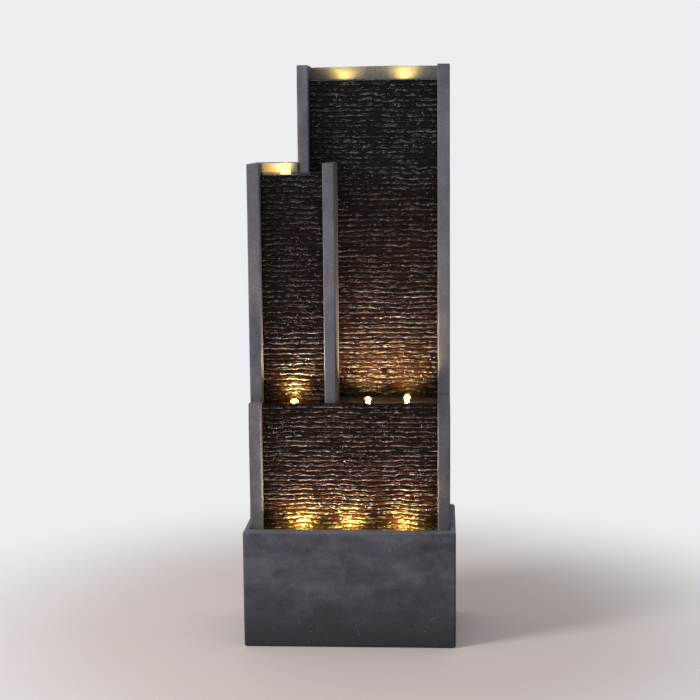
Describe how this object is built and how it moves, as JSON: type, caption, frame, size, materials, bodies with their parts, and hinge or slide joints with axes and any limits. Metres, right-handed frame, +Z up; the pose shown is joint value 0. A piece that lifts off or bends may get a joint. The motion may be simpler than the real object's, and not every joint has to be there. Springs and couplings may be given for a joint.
{
  "type": "garden wall fountain",
  "caption": "Slim wall fountain: a short and a tall rippled water wall above a wide lower one, lit by small lamps, over a rectangular basin with a hidden pump.",
  "frame": {"origin": "on the ground, at the middle of the basin's footprint", "axes": "+X to the right seen from the front, +Y to the back (the wall), +Z up"},
  "size_m": [0.404, 0.24, 1.1],
  "materials": {
    "stone_resin": "matte",
    "wet_stone_resin": "gloss",
    "trough_resin": "matte",
    "lamp_metal": "satin",
    "lamp_glass": "gloss",
    "screw_steel": "satin",
    "insert_brass": "satin",
    "door_plastic": "matte",
    "gasket_rubber": "matte",
    "pump_plastic": "satin",
    "rotor_plastic": "satin",
    "shaft_ceramic": "gloss",
    "hose_pvc": "gloss",
    "fitting_plastic": "matte",
    "clamp_steel": "satin",
    "cable_rubber": "matte",
    "plug_rubber": "matte"
  },
  "bodies": {
    "fountain": {"basin": "stone_resin", "lower_left_column": "stone_resin", "lower_right_column": "stone_resin", "short_left_column": "stone_resin", "divider_column": "stone_resin", "tall_left_column": "stone_resin", "tall_right_column": "stone_resin", "back_panel": "stone_resin", "short_hood": "stone_resin", "lower_ripple_panel": "wet_stone_resin", "short_ripple_panel": "wet_stone_resin", "tall_ripple_panel": "wet_stone_resin", "middle_trough": "trough_resin", "short_trough": "trough_resin", "tall_trough": "trough_resin", "door_inserts": "insert_brass", "lamp_brackets": "screw_steel", "basin_lamp_lenses": "lamp_glass", "middle_lamp_lenses": "lamp_glass", "short_lamp_lens": "lamp_glass", "tall_lamp_lenses": "lamp_glass", "pump_body": "pump_plastic", "volute_plate": "pump_plastic", "impeller_shaft": "shaft_ceramic", "pump_cover": "pump_plastic", "pump_suction_cups": "gasket_rubber", "hose_tee": "fitting_plastic", "short_nozzle": "fitting_plastic", "tall_nozzle": "fitting_plastic", "riser_hose": "hose_pvc", "tall_hose": "hose_pvc", "short_hose": "hose_pvc", "hose_clamps": "clamp_steel", "junction_box": "fitting_plastic", "junction_box_lid": "fitting_plastic", "basin_lamp_leads": "cable_rubber", "middle_lamp_leads": "cable_rubber", "short_lamp_lead": "cable_rubber", "tall_lamp_leads": "cable_rubber", "pump_lead": "cable_rubber", "cable_gland": "plug_rubber", "basin_lamp_left": "lamp_metal", "basin_lamp_middle": "lamp_metal", "basin_lamp_right": "lamp_metal", "middle_lamp_left": "lamp_metal", "middle_lamp_centre": "lamp_metal", "middle_lamp_right": "lamp_metal", "short_lamp": "lamp_metal", "tall_lamp_left": "lamp_metal", "tall_lamp_right": "lamp_metal"},
    "impeller": {"impeller": "rotor_plastic"},
    "flow_dial": {"flow_dial": "pump_plastic"},
    "access_door": {"access_door": "door_plastic", "door_gasket": "gasket_rubber", "door_screws": "screw_steel"},
    "drain_plug": {"drain_plug": "plug_rubber"}
  },
  "joints": [
    {"name": "impeller_spin", "type": "hinge", "parent": "fountain", "child": "impeller", "pos_m": [-0.045, 0.03, 0.053], "axis": [0, 1, 0], "continuous": true},
    {"name": "flow_dial_turn", "type": "hinge", "parent": "fountain", "child": "flow_dial", "pos_m": [-0.045, 0.079, 0.053], "axis": [0, 1, 0], "range_deg": [0, 30]},
    {"name": "access_door_lift", "type": "slide", "parent": "fountain", "child": "access_door", "axis": [0, 1, 0], "range_m": [0, 0.15]},
    {"name": "drain_plug_pull", "type": "slide", "parent": "fountain", "child": "drain_plug", "axis": [0, 1, 0], "range_m": [0, 0.04]}
  ]
}
